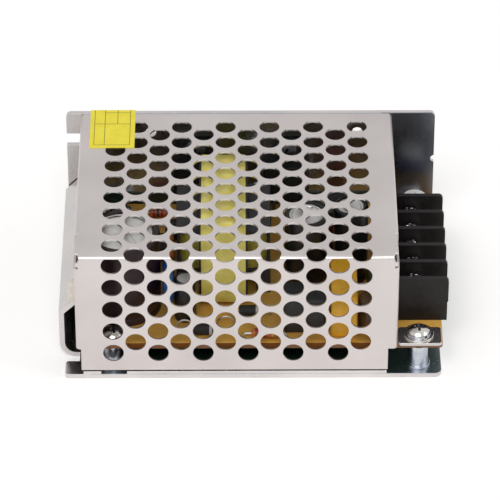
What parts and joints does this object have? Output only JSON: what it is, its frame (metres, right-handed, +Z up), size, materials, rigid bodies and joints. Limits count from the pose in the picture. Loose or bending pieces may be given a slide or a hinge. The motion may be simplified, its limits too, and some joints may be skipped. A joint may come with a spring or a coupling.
{
  "type": "enclosed power supply",
  "caption": "Small enclosed switching power supply: folded sheet chassis, pierced folded cover, circuit board inside and a row of screw terminals at one end.",
  "frame": {"origin": "centre of the footprint, on the underside of the base", "axes": "+X along the case towards the terminal end, +Y from the pierced side wall to the back wall, +Z up"},
  "size_m": [0.088, 0.0571, 0.0341],
  "materials": {
    "plated_steel": "bright zinc-plated sheet",
    "cover_sheet": "satin rolled sheet, warm light grey",
    "zinc_hardware": "bright zinc plating",
    "nickel_hardware": "nickel plating",
    "tinned_brass": "tin-plated brass",
    "insulation_film": "satin film",
    "board_laminate": "tan laminate, satin",
    "black_plastic": "moulded, satin",
    "yellow_paper": "glossy label paper",
    "can_aluminium": "bright drawn aluminium",
    "brown_sleeve": "glossy shrink sleeve",
    "black_sleeve": "glossy shrink sleeve",
    "ferrite": "matt ferrite",
    "dark_phenolic": "moulded, satin",
    "yellow_tape": "glossy polyester tape",
    "winding_tape": "glossy polyester tape over wire",
    "amber_case": "glossy moulded case",
    "blue_coating": "dipped resin coating",
    "black_case": "moulded, satin",
    "enamelled_wire": "enamelled copper wire",
    "brown_case": "glossy moulded case",
    "green_coating": "dipped resin coating",
    "black_resin": "moulded resin",
    "resistor_lacquer": "lacquered ceramic",
    "red_coating": "dipped resin coating",
    "tinned_copper": "tinned copper",
    "grey_silicone": "matt silicone pad",
    "white_resin": "moulded resin",
    "trimmer_blue": "moulded, glossy",
    "led_green": "clear tinted epoxy",
    "beige_sealant": "silicone sealant"
  },
  "bodies": {
    "case": {"chassis": "plated_steel", "mesh_cover": "cover_sheet", "cover_screws": "zinc_hardware", "insulation_sheet": "insulation_film", "standoffs": "zinc_hardware", "circuit_board": "board_laminate", "ground_tab": "nickel_hardware", "board_screws": "nickel_hardware", "lock_washers": "zinc_hardware", "flat_washers": "nickel_hardware", "terminal_housing": "black_plastic", "terminal_contacts": "tinned_brass", "date_label": "yellow_paper", "input_capacitor_can": "can_aluminium", "input_capacitor_sleeve": "brown_sleeve", "output_capacitor_cans": "can_aluminium", "output_capacitor_sleeves": "black_sleeve", "transformer_core": "ferrite", "transformer_bobbin": "dark_phenolic", "transformer_winding": "winding_tape", "transformer_tape": "yellow_tape", "x_capacitor": "amber_case", "y_capacitor": "blue_coating", "line_choke": "black_case", "output_choke_core": "ferrite", "output_choke_coil": "enamelled_wire", "fuse": "brown_case", "thermistor": "green_coating", "rectifier_diodes": "black_resin", "resistors": "resistor_lacquer", "small_capacitors": "black_sleeve", "film_capacitor": "red_coating", "power_device_tabs": "tinned_copper", "power_device_bodies": "black_resin", "insulating_pads": "grey_silicone", "power_device_screws": "zinc_hardware", "controller_chip": "black_resin", "optocoupler": "white_resin", "trimmer_body": "trimmer_blue", "indicator_led": "led_green", "sealant_bead": "beige_sealant", "jumper_wires": "tinned_copper"},
    "trimmer": {"trimmer_rotor": "white_resin"},
    "terminal_1": {"terminal_screw_1": "nickel_hardware", "terminal_clamp_1": "zinc_hardware"},
    "terminal_2": {"terminal_screw_2": "nickel_hardware", "terminal_clamp_2": "zinc_hardware"},
    "terminal_3": {"terminal_screw_3": "nickel_hardware", "terminal_clamp_3": "zinc_hardware"},
    "terminal_4": {"terminal_screw_4": "nickel_hardware", "terminal_clamp_4": "zinc_hardware"},
    "terminal_5": {"terminal_screw_5": "nickel_hardware", "terminal_clamp_5": "zinc_hardware"}
  },
  "joints": [
    {"name": "trimmer_turn", "type": "hinge", "parent": "case", "child": "trimmer", "pos_m": [0.0377, 0.01785, 0.015], "axis": [0, 0, 1], "range_deg": [-135, 135]},
    {"name": "terminal_lift_1", "type": "slide", "parent": "case", "child": "terminal_1", "axis": [0, 0, 1], "range_m": [0, 0.0025]},
    {"name": "terminal_lift_2", "type": "slide", "parent": "case", "child": "terminal_2", "axis": [0, 0, 1], "range_m": [0, 0.0025]},
    {"name": "terminal_lift_3", "type": "slide", "parent": "case", "child": "terminal_3", "axis": [0, 0, 1], "range_m": [0, 0.0025]},
    {"name": "terminal_lift_4", "type": "slide", "parent": "case", "child": "terminal_4", "axis": [0, 0, 1], "range_m": [0, 0.0025]},
    {"name": "terminal_lift_5", "type": "slide", "parent": "case", "child": "terminal_5", "axis": [0, 0, 1], "range_m": [0, 0.0025]}
  ]
}
